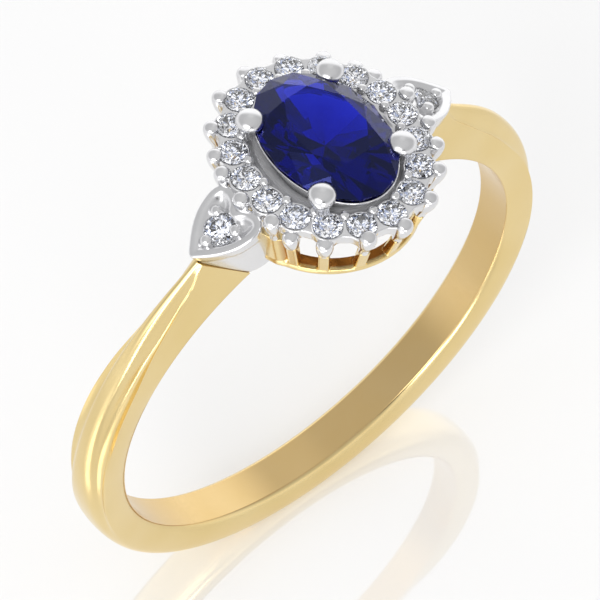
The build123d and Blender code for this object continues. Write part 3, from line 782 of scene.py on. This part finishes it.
floor = bpy.data.objects.new("floor", fmesh)
scene.collection.objects.link(floor)
fmesh.materials.append(fm)

# ------------------------------------------------------------------ studio light
world = bpy.data.worlds.new("studio")
scene.world = world
world.use_nodes = True
wt = world.node_tree
wt.nodes.clear()
wo = wt.nodes.new("ShaderNodeOutputWorld")
bg = wt.nodes.new("ShaderNodeBackground")
wt.links.new(bg.outputs[0], wo.inputs[0])
wc = wt.nodes.new("ShaderNodeTexCoord")
sep = wt.nodes.new("ShaderNodeSeparateXYZ")
wt.links.new(wc.outputs["Generated"], sep.inputs[0])
wr = wt.nodes.new("ShaderNodeValToRGB")
lift = wt.nodes.new("ShaderNodeMapRange")
lift.inputs["From Min"].default_value = -1.0
lift.inputs["From Max"].default_value = 1.0
wt.links.new(sep.outputs["Z"], lift.inputs["Value"])
wt.links.new(lift.outputs["Result"], wr.inputs["Fac"])
cr = wr.color_ramp
cr.elements[0].position = 0.0
cr.elements[0].color = (0.95, 0.95, 0.95, 1)
cr.elements[1].position = 1.0
cr.elements[1].color = (0.72, 0.72, 0.72, 1)
for pos, val in ((0.48, 1.05), (0.57, 0.95), (0.70, 0.60), (0.85, 0.62)):
    e = cr.elements.new(pos)
    e.color = (val, val, val * 1.01, 1)


def lobe(direction, inner, outer):
    """1 within the inner angle of a fixed studio direction, 0 past the outer one."""
    d = Vector(direction).normalized()
    dot = wt.nodes.new("ShaderNodeVectorMath")
    dot.operation = "DOT_PRODUCT"
    wt.links.new(wc.outputs["Generated"], dot.inputs[0])
    dot.inputs[1].default_value = d
    m = wt.nodes.new("ShaderNodeMapRange")
    m.interpolation_type = "SMOOTHSTEP"
    m.inputs["From Min"].default_value = math.cos(math.radians(outer))
    m.inputs["From Max"].default_value = math.cos(math.radians(inner))
    wt.links.new(dot.outputs["Value"], m.inputs["Value"])
    return m.outputs["Result"]


def blend_in(colour, factor, value):
    mix = wt.nodes.new("ShaderNodeMix")
    mix.data_type = "RGBA"
    wt.links.new(factor, mix.inputs["Factor"])
    wt.links.new(colour, mix.inputs["A"])
    mix.inputs["B"].default_value = (value, value, value, 1)
    return mix.outputs["Result"]


sky = wr.outputs["Color"]
sky = blend_in(sky, lobe((0.70, 0.68, 0.05), 25, 50), 1.3)     # bright cove behind
sky = blend_in(sky, lobe((-0.80, -0.25, 0.55), 14, 30), 1.5)   # left softbox
sky = blend_in(sky, lobe((0.374, 0.391, 0.841), 5, 17), 0.80)    # ceiling panel
sky = blend_in(sky, lobe((-0.355, -0.749, 0.561), 4, 9), 0.05)   # the camera
# what the cut stones pick up through their facets: a room of lamps and dark gaps
cells = wt.nodes.new("ShaderNodeTexVoronoi")
cells.inputs["Scale"].default_value = 4.2
wt.links.new(wc.outputs["Generated"], cells.inputs["Vector"])
pick = wt.nodes.new("ShaderNodeSeparateColor")
wt.links.new(cells.outputs["Color"], pick.inputs[0])
room = wt.nodes.new("ShaderNodeValToRGB")
room.color_ramp.interpolation = "CONSTANT"
room.color_ramp.elements[0].position = 0.0
room.color_ramp.elements[0].color = (0.01, 0.01, 0.015, 1)
room.color_ramp.elements[1].position = 0.30
room.color_ramp.elements[1].color = (0.40, 0.48, 0.72, 1)
e = room.color_ramp.elements.new(0.42); e.color = (1.35, 1.35, 1.37, 1)
e = room.color_ramp.elements.new(0.80); e.color = (0.75, 0.76, 0.80, 1)
wt.links.new(pick.outputs[0], room.inputs["Fac"])
path = wt.nodes.new("ShaderNodeLightPath")
which = wt.nodes.new("ShaderNodeMix")
which.data_type = "RGBA"
wt.links.new(path.outputs["Is Transmission Ray"], which.inputs["Factor"])
wt.links.new(sky, which.inputs["A"])
wt.links.new(room.outputs["Color"], which.inputs["B"])
wt.links.new(which.outputs["Result"], bg.inputs["Color"])
bg.inputs["Strength"].default_value = 1.0


def area(name, where, aim, size, power, color=(1, 1, 1), size_y=None):
    lamp = bpy.data.lights.new(name, "AREA")
    lamp.shape = "RECTANGLE"
    lamp.size = size
    lamp.size_y = size_y or size
    lamp.energy = power
    lamp.color = color
    o = bpy.data.objects.new(name, lamp)
    scene.collection.objects.link(o)
    d = Vector(aim) - Vector(where)
    o.location = Vector(where)
    o.rotation_euler = d.to_track_quat("-Z", "Y").to_euler()
    return o


area("key_softbox", (-0.26, -0.12, 0.20), (0, 0, 0.002), 0.18, 0.25)
area("front_softbox", (-0.16, -0.28, 0.05), (0, 0, 0.004), 0.09, 0.14)

# ------------------------------------------------------------------ camera
Rm = np.array([[0.77262417, -0.63295036, 0.04925173], [-0.51299376, -0.66813175, -0.53892241], [0.37401778, 0.39111865, -0.84091433]])
C = np.array([-40.685, -42.546, 91.474])
F_PX, CX, CY = 3078.5, 307.7695, 333.977
fwd = Rm.T @ np.array([(300 - CX) / F_PX, (300 - CY) / F_PX, 1.0])
fwd /= np.linalg.norm(fwd)
right = Rm[0] - fwd * (Rm[0] @ fwd)
right /= np.linalg.norm(right)
up = np.cross(right, fwd)
cam = bpy.data.cameras.new("photo_camera")
cam.sensor_width = 36.0
cam.sensor_fit = "HORIZONTAL"
cam.lens = F_PX / 600 * 36.0
cam.clip_start = 0.005
cam.clip_end = 5.0
cam_obj = bpy.data.objects.new("photo_camera", cam)
scene.collection.objects.link(cam_obj)
M = Matrix(((right[0], up[0], -fwd[0], C[0] * MM), (right[1], up[1], -fwd[1], C[1] * MM), (right[2], up[2], -fwd[2], C[2] * MM), (0, 0, 0, 1)))
cam_obj.matrix_world = M
scene.camera = cam_obj

scene.view_settings.view_transform = "Standard"
scene.view_settings.look = "None"
scene.cycles.max_bounces = 16
scene.cycles.transmission_bounces = 14
scene.cycles.glossy_bounces = 8
scene.cycles.caustics_reflective = True
scene.cycles.caustics_refractive = True
scene.cycles.sample_clamp_indirect = 8.0
